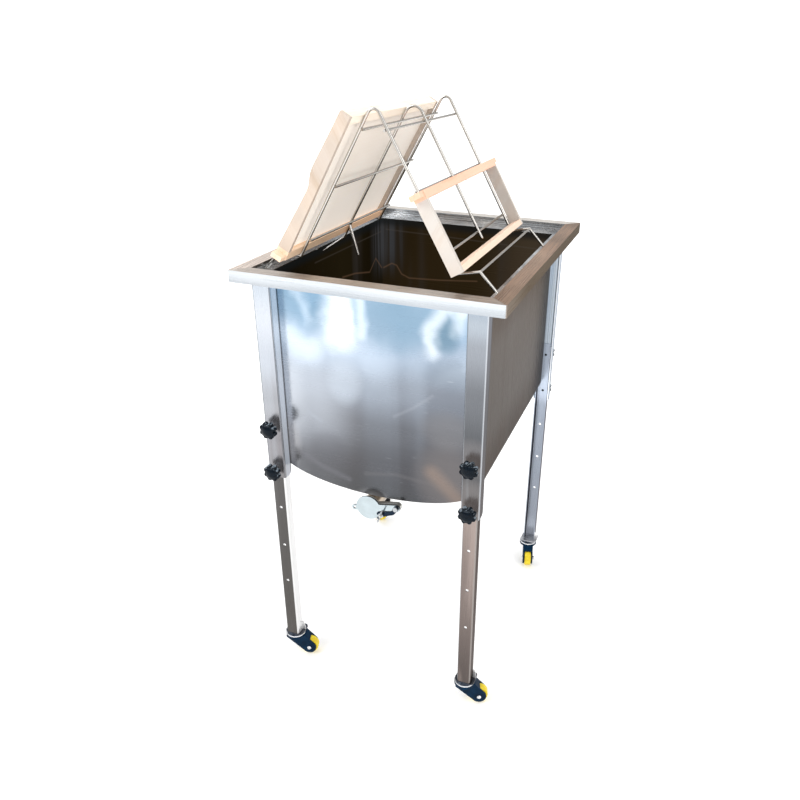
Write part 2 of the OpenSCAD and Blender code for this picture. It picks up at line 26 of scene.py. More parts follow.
class Mat:
    """A Principled material with short calls for its procedural nodes."""

    def __init__(self, name, metallic=0.0, rough=0.4):
        self.m = bpy.data.materials.new(name)
        self.m.use_nodes = True
        self.t = self.m.node_tree
        self.b = self.t.nodes["Principled BSDF"]
        self.b.inputs["Metallic"].default_value = metallic
        self.b.inputs["Roughness"].default_value = rough
        tc = self.t.nodes.new("ShaderNodeTexCoord")
        self.co = tc.outputs["Object"]
        self.nor = tc.outputs["Normal"]

    def put(self, value, sock):
        if isinstance(value, bpy.types.NodeSocket):
            self.t.links.new(value, sock)
        elif isinstance(value, (tuple, list)) and len(value) == 3 and sock.type == "RGBA":
            sock.default_value = (*value, 1.0)
        else:
            sock.default_value = value

    def math(self, op, a, b=0.0, c=0.0, clamp=False):
        n = self.t.nodes.new("ShaderNodeMath")
        n.operation = op
        n.use_clamp = clamp
        self.put(a, n.inputs[0])
        self.put(b, n.inputs[1])
        self.put(c, n.inputs[2])
        return n.outputs[0]

    def xyz(self, vec=None):
        n = self.t.nodes.new("ShaderNodeSeparateXYZ")
        self.put(self.co if vec is None else vec, n.inputs[0])
        return n.outputs[0], n.outputs[1], n.outputs[2]

    def map(self, scale=(1, 1, 1), rot=(0, 0, 0), loc=(0, 0, 0), vec=None):
        n = self.t.nodes.new("ShaderNodeMapping")
        n.inputs["Scale"].default_value = scale
        n.inputs["Rotation"].default_value = rot
        n.inputs["Location"].default_value = loc
        self.put(self.co if vec is None else vec, n.inputs["Vector"])
        return n.outputs[0]

    def noise(self, vec, scale=1.0, detail=2.0, rough=0.5, distort=0.0):
        n = self.t.nodes.new("ShaderNodeTexNoise")
        n.inputs["Scale"].default_value = scale
        n.inputs["Detail"].default_value = detail
        n.inputs["Roughness"].default_value = rough
        n.inputs["Distortion"].default_value = distort
        self.put(vec, n.inputs["Vector"])
        return n.outputs[0]

    def range(self, v, a, b, c=0.0, d=1.0, smooth=True):
        n = self.t.nodes.new("ShaderNodeMapRange")
        n.interpolation_type = "SMOOTHSTEP" if smooth else "LINEAR"
        n.clamp = True
        for i, x in enumerate((v, a, b, c, d)):
            self.put(x, n.inputs[i])
        return n.outputs[0]

    def ramp(self, fac, stops):
        n = self.t.nodes.new("ShaderNodeValToRGB")
        e = n.color_ramp.elements
        n.color_ramp.interpolation = "EASE"
        while len(e) < len(stops):
            e.new(0.5)
        for el, (p, c) in zip(e, stops):
            el.position = p
            el.color = (*c, 1.0)
        self.put(fac, n.inputs[0])
        return n.outputs[0]

    def mix(self, fac, a, b, mode="MIX"):
        n = self.t.nodes.new("ShaderNodeMix")
        n.data_type = "RGBA"
        n.blend_type = mode
        self.put(fac, n.inputs[0])
        self.put(a, n.inputs[6])
        self.put(b, n.inputs[7])
        return n.outputs[2]

    def bump(self, height, strength=0.1, distance=0.001):
        n = self.t.nodes.new("ShaderNodeBump")
        n.inputs["Strength"].default_value = strength
        n.inputs["Distance"].default_value = distance
        self.put(height, n.inputs["Height"])
        self.put(n.outputs[0], self.b.inputs["Normal"])

    def blob(self, u, v, u0, v0, ru, rv):
        """Soft spot, 1 in the middle, 0 outside the ellipse."""
        a = self.math("POWER", self.math("DIVIDE", self.math("SUBTRACT", u, u0), ru), 2.0)
        b = self.math("POWER", self.math("DIVIDE", self.math("SUBTRACT", v, v0), rv), 2.0)
        return self.range(self.math("ADD", a, b), 0.0, 1.0, 1.0, 0.0)

    def streak(self, u, v, p, q, width):
        """Soft line from p to q."""
        du, dv = q[0] - p[0], q[1] - p[1]
        ll = du * du + dv * dv
        uu, vv = self.math("SUBTRACT", u, p[0]), self.math("SUBTRACT", v, p[1])
        h = self.math("ADD", self.math("MULTIPLY", uu, du / ll), self.math("MULTIPLY", vv, dv / ll), clamp=True)
        a = self.math("SUBTRACT", uu, self.math("MULTIPLY", h, du))
        b = self.math("SUBTRACT", vv, self.math("MULTIPLY", h, dv))
        d = self.math("SQRT", self.math("ADD", self.math("MULTIPLY", a, a), self.math("MULTIPLY", b, b)))
        return self.range(d, 0.0, width, 1.0, 0.0)

    def edge(self, tint):
        """Colour of the steel at a glancing angle."""
        self.put(tint, self.b.inputs["Specular Tint"])

    def glow(self, colour):
        """Light that the piece adds itself, for faces that mirror bright things out of the frame."""
        self.put(colour, self.b.inputs["Emission Color"])
        self.b.inputs["Emission Strength"].default_value = 1.0

    def path(self, u, v, points, width):
        """Soft line through several points."""
        m = None
        for a, b in zip(points, points[1:]):
            n = self.streak(u, v, a, b, width)
            m = n if m is None else self.math("MAXIMUM", m, n)
        return m

    def brushed(self, colour, scale, amount=0.10, rough=(0.22, 0.36), bump=0.03):
        """Fine brush lines over a colour: scale is large across the lines and small along them."""
        lines = self.noise(self.map(scale), 1.0, 4.0, 0.65)
        wide = self.noise(self.map(tuple(s * 0.16 for s in scale)), 1.0, 3.0, 0.55)
        both = self.math("ADD", self.math("MULTIPLY", lines, 0.6), self.math("MULTIPLY", wide, 0.4))
        shade = self.range(both, 0.25, 0.75, 1.0 - amount, 1.0 + amount, smooth=False)
        grey = self.t.nodes.new("ShaderNodeCombineColor")
        for i in range(3):
            self.put(shade, grey.inputs[i])
        self.put(self.mix(1.0, colour, grey.outputs[0], "MULTIPLY"), self.b.inputs["Base Color"])
        self.put(self.range(both, 0.3, 0.7, rough[0], rough[1]), self.b.inputs["Roughness"])
        if bump:
            self.bump(lines, bump, 0.0004)


def paint(material, *names):
    for name in names:
        ob = NODES[name]
        if not ob.material_slots:
            ob.data.materials.append(material.m)
        for s in ob.material_slots:
            s.material = material.m


# ---------------------------------------------------------------- steel

# painted shade: the dark base colour given to the inside faces of the tank
INSIDE_PAINTED_SHADE = (0.020, 0.014, 0.009)


def inside_painted_light(g, wall):
    """Painted light and shade for the dark brown inside of the tank, with faint lines of painted reflection where the
    sheets mirror the rim and each other.
    """
    x, y, z = g.xyz()
    tone = g.noise(g.map((2.4, 2.4, 0.9)), 1.0, 2.0, 0.5, 0.4)
    # painted light: each wall gets its own dark glow, the right wall the brightest
    low, high = {"left": ((0.006, 0.004, 0.0015), (0.014, 0.010, 0.004)), "back": ((0.011, 0.007, 0.0025), (0.024, 0.015, 0.006)),
                 "right": ((0.045, 0.030, 0.018), (0.105, 0.078, 0.054)), "front": ((0.008, 0.006, 0.004), (0.016, 0.012, 0.008))}[wall]
    col = g.mix(g.range(tone, 0.35, 0.65), low, high)
    # painted light: the back wall lighter towards its right part
    if wall == "back":
        col = g.mix(g.math("MULTIPLY", g.range(x, 0.02, 0.20), 0.75), col, (0.052, 0.038, 0.025))
    # painted reflection: faint pale bands
    bands = g.noise(g.map((14.0, 14.0, 0.8)), 1.0, 2.0, 0.5)
    col = g.mix(g.range(bands, 0.52, 0.72, 0.0, 0.55), col, (0.032, 0.028, 0.026))
    # painted reflection: fine pale streaks near the back left corner, in the upper part
    if wall in ("back", "left"):
        from_corner = g.math("SUBTRACT", x, -0.228) if wall == "back" else g.math("SUBTRACT", 0.267, y)
        streaks = g.noise(g.map((95.0, 95.0, 1.0)), 1.0, 2.0, 0.5)
        streaks = g.math("MULTIPLY", g.range(from_corner, 0.085, 0.020), g.range(streaks, 0.42, 0.62, 0.25, 1.0))
        col = g.mix(g.math("MULTIPLY", streaks, g.range(z, 0.80, 0.91)), col, (0.036, 0.037, 0.040))
    # painted shade just under the rim
    top = g.range(z, 0.952, 0.972)
    col = g.mix(g.math("MULTIPLY", top, 0.75), col, (0.006, 0.008, 0.009))
    # painted reflections of the rim and the other sheets: a brown line and a thin grey line
    if wall == "back":
        line = g.path(x, z, [(-0.224, 0.846), (-0.200, 0.860), (-0.186, 0.856), (-0.172, 0.834), (-0.150, 0.825), (-0.064, 0.829), (0.040, 0.838)], 0.0034)
        thin = g.path(x, z, [(-0.215, 0.950), (-0.05, 0.946), (0.21, 0.938)], 0.0030)
    elif wall == "left":
        line = g.path(y, z, [(0.030, 0.882), (0.100, 0.873), (0.185, 0.854), (0.205, 0.868), (0.224, 0.881), (0.262, 0.846)], 0.0034)
        thin = g.path(y, z, [(-0.10, 0.950), (0.262, 0.944)], 0.0030)
    elif wall == "right":
        line = g.path(y, z, [(-0.26, 0.800), (-0.15, 0.770), (-0.03, 0.768), (0.08, 0.790), (0.20, 0.800)], 0.0055)
        thin = g.path(y, z, [(-0.24, 0.700), (-0.05, 0.735), (0.20, 0.730)], 0.0045)
    else:
        line = g.path(x, z, [(-0.22, 0.800), (0.0, 0.770), (0.22, 0.800)], 0.0050)
        thin = line
    col = g.mix(g.math("MULTIPLY", line, 0.36), col, (0.150, 0.085, 0.050))
    col = g.mix(g.math("MULTIPLY", thin, 0.28), col, (0.070, 0.060, 0.052))
    return col


def panel(name, front):
    g = Mat(name, 1.0, 0.26)
    x, y, z = g.xyz()
    t = g.range(z, 0.514, 0.977, smooth=False)
    # painted reflection: bluish light towards the top, dark grey towards the bottom
    col = g.ramp(t, [(0.0, (0.062, 0.061, 0.062)), (0.16, (0.070, 0.068, 0.072)), (0.36, (0.104, 0.107, 0.118)),
                     (0.56, (0.208, 0.232, 0.272)), (0.74, (0.292, 0.356, 0.442)), (0.88, (0.240, 0.340, 0.452)),
                     (1.0, (0.198, 0.312, 0.430))])
    # the right part mirrors a darker side of the room
    right = g.math("MULTIPLY", g.range(x, -0.06, 0.20), g.range(t, 0.95, 0.45))
    col = g.mix(g.math("MULTIPLY", right, 0.50), col, (0.092, 0.100, 0.118))
    # the left part mirrors a brighter side
    left = g.math("MULTIPLY", g.range(t, 0.10, 0.42, 0.12, 0.62), g.range(t, 0.80, 0.45))
    col = g.mix(g.math("MULTIPLY", left, g.range(x, 0.00, -0.13)), col, (0.400, 0.430, 0.480))
    col = g.mix(g.math("MULTIPLY", left, g.range(x, -0.14, -0.205, 0.0, 0.8)), col, (0.560, 0.590, 0.640))
    # clouds of light in the upper half
    cloud = g.noise(g.map((4.0, 4.0, 2.6), loc=(0.31, 0.0, 0.12)), 1.0, 2.5, 0.55, 0.9)
    cloud = g.math("MULTIPLY", g.range(cloud, 0.46, 0.74), g.range(t, 0.40, 0.85))
    col = g.mix(g.math("MULTIPLY", cloud, 0.42), col, (0.64, 0.72, 0.81))
    # painted reflection: darker patches in the upper half
    dark = g.noise(g.map((3.1, 3.1, 2.6), loc=(1.7, 0.0, 0.4)), 1.0, 2.0, 0.5, 0.8)
    dark = g.math("MULTIPLY", g.range(dark, 0.50, 0.76), g.range(t, 0.62, 0.92))
    col = g.mix(g.math("MULTIPLY", dark, 0.40), col, (0.160, 0.250, 0.340))
    # painted reflections: faint upright bands and sweeping lines
    band = g.noise(g.map((11.0, 11.0, 0.7)), 1.0, 2.0, 0.5, 0.2)
    col = g.mix(g.math("MULTIPLY", g.range(band, 0.50, 0.72), g.range(t, 0.20, 0.60, 0.06, 0.20)), col, (0.44, 0.51, 0.60))
    if front:
        wob = g.math("MULTIPLY", g.math("SUBTRACT", g.noise(g.map((8, 8, 8)), 1.0, 3.0, 0.6), 0.5), 0.075)
        u = g.math("ADD", x, wob)
        v = g.math("ADD", z, g.math("MULTIPLY", wob, 0.9))
        # painted reflections and painted shade: light and dark spots and streaks on the front panel
        spots = [
            (g.blob(u, v, -0.140, 0.938, 0.080, 0.095), 0.80, (0.165, 0.270, 0.375)),
            (g.streak(u, v, (-0.172, 0.965), (-0.128, 0.900), 0.020), 0.50, (0.52, 0.61, 0.70)),
            (g.blob(u, v, -0.112, 0.900, 0.030, 0.050), 0.55, (0.140, 0.225, 0.310)),
            (g.blob(u, v, -0.180, 0.912, 0.050, 0.055), 0.60, (0.190, 0.285, 0.380)),
            (g.blob(u, v, 0.055, 0.920, 0.105, 0.085), 0.80, (0.160, 0.250, 0.335)),
            (g.blob(u, v, 0.015, 0.885, 0.060, 0.050), 0.45, (0.210, 0.290, 0.375)),
            (g.streak(u, v, (-0.064, 0.990), (-0.070, 0.870), 0.058), 0.90, (0.74, 0.80, 0.86)),
            (g.streak(u, v, (-0.030, 0.985), (-0.034, 0.900), 0.014), 0.40, (0.24, 0.34, 0.44)),
            (g.streak(u, v, (-0.016, 0.985), (-0.020, 0.880), 0.020), 0.60, (0.62, 0.70, 0.77)),
            (g.streak(u, v, (-0.205, 0.868), (-0.140, 0.835), 0.045), 0.70, (0.56, 0.63, 0.71)),
            (g.streak(u, v, (-0.150, 0.845), (0.000, 0.830), 0.075), 0.40, (0.46, 0.53, 0.62)),
            (g.blob(u, v, 0.151, 0.900, 0.036, 0.048), 0.90, (0.120, 0.195, 0.262)),
            (g.blob(u, v, 0.165, 0.825, 0.060, 0.040), 0.45, (0.165, 0.195, 0.235)),
            (g.path(u, v, [(0.126, 0.865), (0.120, 0.912), (0.138, 0.943), (0.180, 0.952)], 0.024), 0.70, (0.60, 0.66, 0.71)),
            (g.streak(u, v, (0.185, 0.965), (0.172, 0.915), 0.026), 0.55, (0.58, 0.65, 0.71)),
            (g.path(x, z, [(0.048, 0.715), (0.090, 0.742), (0.130, 0.775)], 0.006), 0.16, (0.36, 0.38, 0.42)),
            (g.path(x, z, [(-0.150, 0.690), (-0.120, 0.672)], 0.008), 0.14, (0.36, 0.40, 0.46)),
            (g.path(x, z, [(-0.02, 0.565), (0.05, 0.578), (0.13, 0.572)], 0.008), 0.20, (0.17, 0.165, 0.17)),
            (g.path(x, z, [(-0.180, 0.590), (-0.120, 0.560), (-0.060, 0.543)], 0.012), 0.30, (0.17, 0.17, 0.19)),
            (g.blob(x, z, 0.165, 0.590, 0.090, 0.110), 0.80, (0.145, 0.135, 0.136)),
            (g.streak(x, z, (0.132, 0.600), (0.186, 0.550), 0.030), 0.46, (0.275, 0.205, 0.165)),
            (g.blob(x, z, -0.200, 0.605, 0.034, 0.075), 0.70, (0.235, 0.235, 0.245)),
            (g.blob(x, z, 0.165, 0.702, 0.075, 0.055), 0.50, (0.185, 0.184, 0.192)),
            (g.blob(x, z, -0.062, 0.775, 0.050, 0.065), 0.50, (0.430, 0.480, 0.545)),
            (g.blob(x, z, -0.105, 0.610, 0.055, 0.050), 0.30, (0.085, 0.085, 0.095)),
        ]
        for m, k, c in spots:
            col = g.mix(g.math("MULTIPLY", m, k), col, c)
        inner = g.range(y, -0.30405, -0.30395, smooth=False)
    else:
        inner = g.range(y, 0.26705, 0.26695, smooth=False)
    # fine scratches
    scr = g.noise(g.map((26.0, 26.0, 260.0), rot=(0, 0.35, 0)), 1.0, 1.0, 0.5)
    col = g.mix(g.range(scr, 0.70, 0.82, 0.0, 0.16), col, (0.70, 0.75, 0.80))
    # painted shade: the inside faces take the dark inside colour
    col = g.mix(inner, col, INSIDE_PAINTED_SHADE)
    # painted light: two soft spots on the front panel, near the left sleeve and at the bottom middle, and the painted
    # light and shade of the inside
    panel_spot_light = (0, 0, 0)
    if front:
        panel_spot_light = g.mix(g.blob(x, z, -0.196, 0.610, 0.030, 0.075), (0, 0, 0), (0.085, 0.085, 0.090))
        panel_spot_light = g.mix(g.blob(x, z, -0.003, 0.511, 0.046, 0.024), panel_spot_light, (0.100, 0.098, 0.100))
    g.glow(g.mix(inner, panel_spot_light, inside_painted_light(g, "front" if front else "back")))
    # painted shade: the inside faces get a dark edge tint
    g.edge(g.mix(inner, (0.75, 0.78, 0.82), (0.05, 0.04, 0.03)))
    g.brushed(col, (7.0, 7.0, 420.0), 0.07, (0.17, 0.30), 0.02)
    return g


def shell():
    g = Mat("shell_steel", 1.0, 0.3)
    x, y, z = g.xyz()
    t = g.range(z, 0.514, 0.977, smooth=False)
    # painted light and shade on the outer sheet: darker near the bottom and the rim, darker towards the back and the
    # front, with lighter and warmer patches of painted reflection
    col = g.ramp(t, [(0.0, (0.150, 0.140, 0.134)), (0.14, (0.130, 0.122, 0.117)), (0.40, (0.200, 0.194, 0.188)),
                     (0.70, (0.196, 0.188, 0.180)), (0.90, (0.150, 0.134, 0.122)), (1.0, (0.120, 0.102, 0.088))])
    back = g.math("MULTIPLY", g.range(y, -0.12, 0.26), g.range(t, 0.40, 0.95))
    col = g.mix(g.math("MULTIPLY", back, 0.55), col, (0.135, 0.100, 0.064))
    front = g.range(y, -0.24, -0.303)
    col = g.mix(g.math("MULTIPLY", front, 0.35), col, (0.075, 0.072, 0.074))
    cloud = g.noise(g.map((2.0, 4.2, 1.3)), 1.0, 2.0, 0.5, 0.7)
    col = g.mix(g.range(cloud, 0.45, 0.75, 0.0, 0.30), col, (0.245, 0.238, 0.228))
    warm = g.noise(g.map((3.0, 3.0, 2.4), loc=(4.0, 1.0, 2.0)), 1.0, 2.0)
    col = g.mix(g.range(warm, 0.50, 0.75, 0.0, 0.35), col, (0.185, 0.150, 0.132))
    # inner faces: inside the middle surface of the folded sheet
    ez = g.math("DIVIDE", g.math("MINIMUM", g.math("SUBTRACT", z, 0.584), 0.0), 0.069)
    ex = g.math("DIVIDE", x, 0.229)
    e = g.math("ADD", g.math("MULTIPLY", ex, ex), g.math("MULTIPLY", ez, ez))
    inner = g.range(e, 1.0005, 0.9995, smooth=False)
    # painted shade and light on the inside faces: the dark inside colour, the glow of the left and right walls and a
    # dark edge tint
    col = g.mix(inner, col, INSIDE_PAINTED_SHADE)
    inside = g.mix(g.range(x, -0.05, 0.05), inside_painted_light(g, "left"), inside_painted_light(g, "right"))
    g.glow(g.mix(inner, (0, 0, 0), inside))
    g.edge(g.mix(inner, (0.37, 0.352, 0.342), (0.05, 0.04, 0.03)))
    g.brushed(col, (420.0, 420.0, 6.0), 0.09, (0.22, 0.36), 0.03)
    return g


def rim_steel():
    g = Mat("rim_steel", 1.0, 0.28)
    x, y, z = g.xyz()
    nx, ny, nz = g.xyz(g.nor)
    ax, ay = g.math("ABSOLUTE", x), g.math("ABSOLUTE", y)
    mitre = g.math("SUBTRACT", g.math("SUBTRACT", ax, 0.247), g.math("SUBTRACT", ay, 0.320))
    rail = g.range(mitre, -0.0004, 0.0004, smooth=False)            # 1 on the left and right rails
    n1 = g.noise(g.map((5.0, 3.0, 3.0)), 1.0, 3.0, 0.55, 0.4)
    # painted light on the top faces: brighter towards the back, the left rail lighter and the right rail darker
    top_fb = g.ramp(g.range(n1, 0.30, 0.70), [(0.0, (0.420, 0.350, 0.295)), (0.5, (0.600, 0.530, 0.475)), (1.0, (0.820, 0.750, 0.695))])
    top_lr = g.ramp(g.range(n1, 0.30, 0.70), [(0.0, (0.500, 0.365, 0.280)), (0.5, (0.710, 0.515, 0.400)), (1.0, (0.860, 0.650, 0.515))])
    fine_x = g.noise(g.map((8.0, 520.0, 520.0)), 1.0, 3.0, 0.6)
    fine_y = g.noise(g.map((520.0, 8.0, 520.0)), 1.0, 3.0, 0.6)
    top_fb = g.mix(g.range(y, -0.10, 0.34, 0.08, 0.95), top_fb, (1.0, 0.94, 0.88))
    top_lr = g.mix(g.range(x, 0.05, -0.05), g.mix(1.0, top_lr, (0.65, 0.60, 0.555), "MULTIPLY"), g.mix(0.65, top_lr, (0.96, 0.89, 0.83)))
    top = g.mix(rail, top_fb, top_lr)
    fine = g.math("ADD", g.math("MULTIPLY", fine_x, g.math("SUBTRACT", 1.0, rail)), g.math("MULTIPLY", fine_y, rail))
    # skirts with painted light and shade: bright in front, warm grey at the sides, neutral behind; darker low on the
    # front and towards the back on the sides
    n2 = g.noise(g.map((3.0, 3.0, 40.0)), 1.0, 2.0, 0.5)
    front = g.ramp(g.range(n2, 0.3, 0.7), [(0.0, (0.440, 0.480, 0.515)), (1.0, (0.560, 0.590, 0.615))])
    front = g.mix(g.range(x, -0.10, 0.28, 0.0, 0.40), front, (0.66, 0.70, 0.735))
    lit = g.range(z, 0.970, 0.992)
    front = g.mix(g.math("MULTIPLY", g.math("SUBTRACT", 1.0, lit), 0.55), front, (0.30, 0.32, 0.35))
    side = g.ramp(g.range(y, -0.353, 0.353, smooth=False), [(0.0, (0.290, 0.255, 0.230)), (0.25, (0.175, 0.148, 0.128)), (1.0, (0.130, 0.106, 0.088))])
    side = g.mix(g.range(n2, 0.35, 0.75, 0.0, 0.30), side, (0.24, 0.205, 0.178))
    back = g.ramp(g.range(n2, 0.3, 0.7), [(0.0, (0.42, 0.42, 0.43)), (1.0, (0.62, 0.62, 0.62))])
    col = g.mix(g.range(ny, -0.55, -0.65, smooth=False), back, front)
    side = g.mix(g.range(nx, -0.2, -0.4, smooth=False), side, g.mix(0.5, back, (0.30, 0.29, 0.28)))
    col = g.mix(g.range(g.math("ABSOLUTE", nx), 0.55, 0.65, smooth=False), col, side)
    up = g.range(nz, 0.55, 0.75, smooth=False)
    col = g.mix(up, col, top)
    # weld line at the mitres
    dark_seam = g.math("MULTIPLY", g.range(g.math("ABSOLUTE", mitre), 0.0, 0.0022, 1.0, 0.0), up)
    col = g.mix(g.math("MULTIPLY", dark_seam, 0.45), col, (0.17, 0.15, 0.135))
    shade = g.range(fine, 0.28, 0.72, 0.86, 1.14, smooth=False)
    grey = g.t.nodes.new("ShaderNodeCombineColor")
    for i in range(3):
        g.put(shade, grey.inputs[i])
    g.put(g.mix(1.0, col, grey.outputs[0], "MULTIPLY"), g.b.inputs["Base Color"])
    g.put(g.range(fine, 0.3, 0.7, 0.24, 0.38), g.b.inputs["Roughness"])
    # painted shade: the side skirts get a darker edge tint
    g.edge(g.mix(g.range(g.math("ABSOLUTE", nx), 0.55, 0.65, smooth=False), (0.80, 0.78, 0.76), (0.33, 0.305, 0.275)))
    g.bump(fine, 0.04, 0.0004)
    return g


def ledge_steel():
    g = Mat("ledge_steel", 1.0, 0.22)
    x, y, z = g.xyz()
    n = g.noise(g.map((9.0, 9.0, 60.0)), 1.0, 3.0, 0.6, 0.5)
    col = g.ramp(g.range(n, 0.30, 0.70), [(0.0, (0.32, 0.32, 0.33)), (0.5, (0.64, 0.66, 0.68)), (1.0, (0.95, 0.95, 0.95))])
    # the upright strip mirrors the rod feet and the mouth in thin bands
    wave = g.math("ADD", z, g.math("MULTIPLY", g.math("SUBTRACT", n, 0.5), 0.004))
    strip = g.ramp(g.range(wave, 0.979, 0.992, smooth=False),
                   [(0.0, (0.10, 0.095, 0.09)), (0.18, (0.74, 0.76, 0.78)), (0.42, (0.20, 0.21, 0.22)),
                    (0.60, (0.62, 0.66, 0.69)), (0.80, (0.16, 0.16, 0.17)), (1.0, (0.70, 0.70, 0.70))])
    col = g.mix(g.math("MULTIPLY", g.range(z, 0.9790, 0.9793, smooth=False), 0.65), col, strip)
    # painted shade on the faces below the upright strip
    low = g.range(z, 0.9795, 0.9785, smooth=False)
    col = g.mix(g.math("MULTIPLY", low, 0.35), col, (0.24, 0.22, 0.20))
    g.brushed(col, (60.0, 60.0, 300.0), 0.10, (0.16, 0.30), 0.03)
    return g


def sleeve_steel(name, stops, side):
    """Folded sleeve painted with its light and reflections: stops colour the outer web from bottom to top, side
    colours the flange that faces right.
    """
    g = Mat(name, 1.0, 0.28)
    x, y, z = g.xyz()
    nx, ny, nz = g.xyz(g.nor)
    t = g.range(z, 0.527, 0.977, smooth=False)
    col = g.ramp(t, stops)
    # painted reflection: lighter patches
    n = g.noise(g.map((34.0, 34.0, 2.3)), 1.0, 2.0, 0.5, 0.3)
    col = g.mix(g.range(n, 0.48, 0.74, 0.0, 0.20), col, (0.46, 0.50, 0.55))
    # painted light: the flange that faces right takes its own colours and a duller edge tint
    right = g.range(nx, 0.75, 0.95)
    flank = g.ramp(t, side)
    col = g.mix(right, col, flank)
    # the fold on the left mirrors something darker
    left = g.range(nx, -0.25, -0.70)
    col = g.mix(g.math("MULTIPLY", left, 0.75), col, (0.130, 0.136, 0.150))
    g.edge(g.mix(right, (0.75, 0.77, 0.80), (0.46, 0.46, 0.47)))
    return g, col


def front_sleeve(name, stops, side, fold, middle, flank, lift, line):
    g, col = sleeve_steel(name, stops, side)
    x, y, z = g.xyz()
    nx, ny, nz = g.xyz(g.nor)
    # painted shade: a thin dark outline along the left edge of the web, with a dark edge tint
    off = g.math("SUBTRACT", x, middle)
    col = g.mix(g.math("MULTIPLY", g.range(off, -0.0166, -0.0180), 0.88), col, (0.040, 0.046, 0.056))
    g.edge(g.mix(g.range(off, -0.0160, -0.0178), g.mix(g.range(nx, 0.75, 0.95), (0.75, 0.77, 0.80), (0.46, 0.46, 0.47)), (0.05, 0.056, 0.07)))
    # dark line where the flange meets the panel
    dark_seam = g.range(y, -0.3085, -0.3060, smooth=False)
    col = g.mix(g.math("MULTIPLY", dark_seam, 0.70), col, (0.06, 0.06, 0.065))
    # painted highlight: bright fold at the outer corners
    bend = g.math("MULTIPLY", g.range(y, -0.3312, -0.3302, 0.0, 1.0), g.range(y, -0.3268, -0.3285))
    col = g.mix(g.math("MULTIPLY", bend, fold), col, (0.56, 0.59, 0.63))
    # painted shade in the bend between the web and the right flange
    crease = g.math("MULTIPLY", g.range(nx, 0.30, 0.50), g.range(nx, 0.90, 0.75))
    col = g.mix(g.math("MULTIPLY", crease, line), col, (0.060, 0.066, 0.078))
    # painted light: a band on the right flange between the fold lines, and soft spots on the web beside the knobs
    inner = g.math("MULTIPLY", g.range(nx, 0.80, 0.97), g.range(off, 0.0188, 0.0194))
    lines = g.math("MULTIPLY", g.range(y, -0.3070, -0.3095), g.range(y, -0.3275, -0.3255))
    web = g.range(ny, -0.60, -0.90)
    by_knob = g.math("MULTIPLY", g.math("MAXIMUM", g.blob(x, z, middle, 0.668, 0.060, 0.050), g.blob(x, z, middle, 0.575, 0.060, 0.055)), web)
    g.glow(g.mix(by_knob, g.mix(g.math("MULTIPLY", inner, lines), (0, 0, 0), flank), lift))
    g.brushed(col, (700.0, 700.0, 7.0), 0.09, (0.20, 0.34), 0.03)
    return g


def back_sleeve(name):
    # painted light and reflections: colours of the web from bottom to top and of the right-facing flange
    g, col = sleeve_steel(name, [(0.0, (0.250, 0.280, 0.320)), (0.5, (0.330, 0.385, 0.445)), (1.0, (0.420, 0.480, 0.540))],
                          [(0.0, (0.300, 0.330, 0.365)), (1.0, (0.380, 0.420, 0.460))])
    x, y, z = g.xyz()
    nx, ny, nz = g.xyz(g.nor)
    ax = g.math("ABSOLUTE", x)
    inside = g.range(g.math("ABSOLUTE", nx), 0.6, 0.4)
    # painted shade: a dark groove along the sleeve's outer edge, next to the side wall
    groove = g.math("MULTIPLY", g.range(ax, 0.2425, 0.2435), g.range(ax, 0.2462, 0.2452))
    col = g.mix(g.math("MULTIPLY", g.math("MULTIPLY", groove, inside), 0.85), col, (0.040, 0.048, 0.062))
    # painted highlight: a bright line at the fold
    bright = g.math("MULTIPLY", g.range(ax, 0.2462, 0.2472), inside)
    col = g.mix(g.math("MULTIPLY", bright, 0.80), col, (0.86, 0.89, 0.93))
    # painted light on the open side of the channel: pale streaks, the same groove and fold line, and on the flanks
    open_side = g.range(ny, -0.35, -0.75)
    streaks = g.noise(g.map((260.0, 260.0, 1.2)), 1.0, 2.0, 0.5)
    light = g.mix(g.range(streaks, 0.38, 0.62), (0.230, 0.270, 0.310), (0.400, 0.450, 0.505))
    light = g.mix(g.math("MULTIPLY", groove, 0.85), light, (0.040, 0.050, 0.065))
    light = g.mix(g.math("MULTIPLY", g.range(ax, 0.2462, 0.2472), 0.80), light, (0.66, 0.70, 0.75))
    flank = g.math("MULTIPLY", g.range(g.math("ABSOLUTE", nx), 0.70, 0.90), 0.55)
    g.glow(g.mix(open_side, g.mix(flank, (0, 0, 0), (0.220, 0.260, 0.300)), light))
    g.brushed(col, (500.0, 500.0, 6.0), 0.10, (0.20, 0.34), 0.03)
    return g


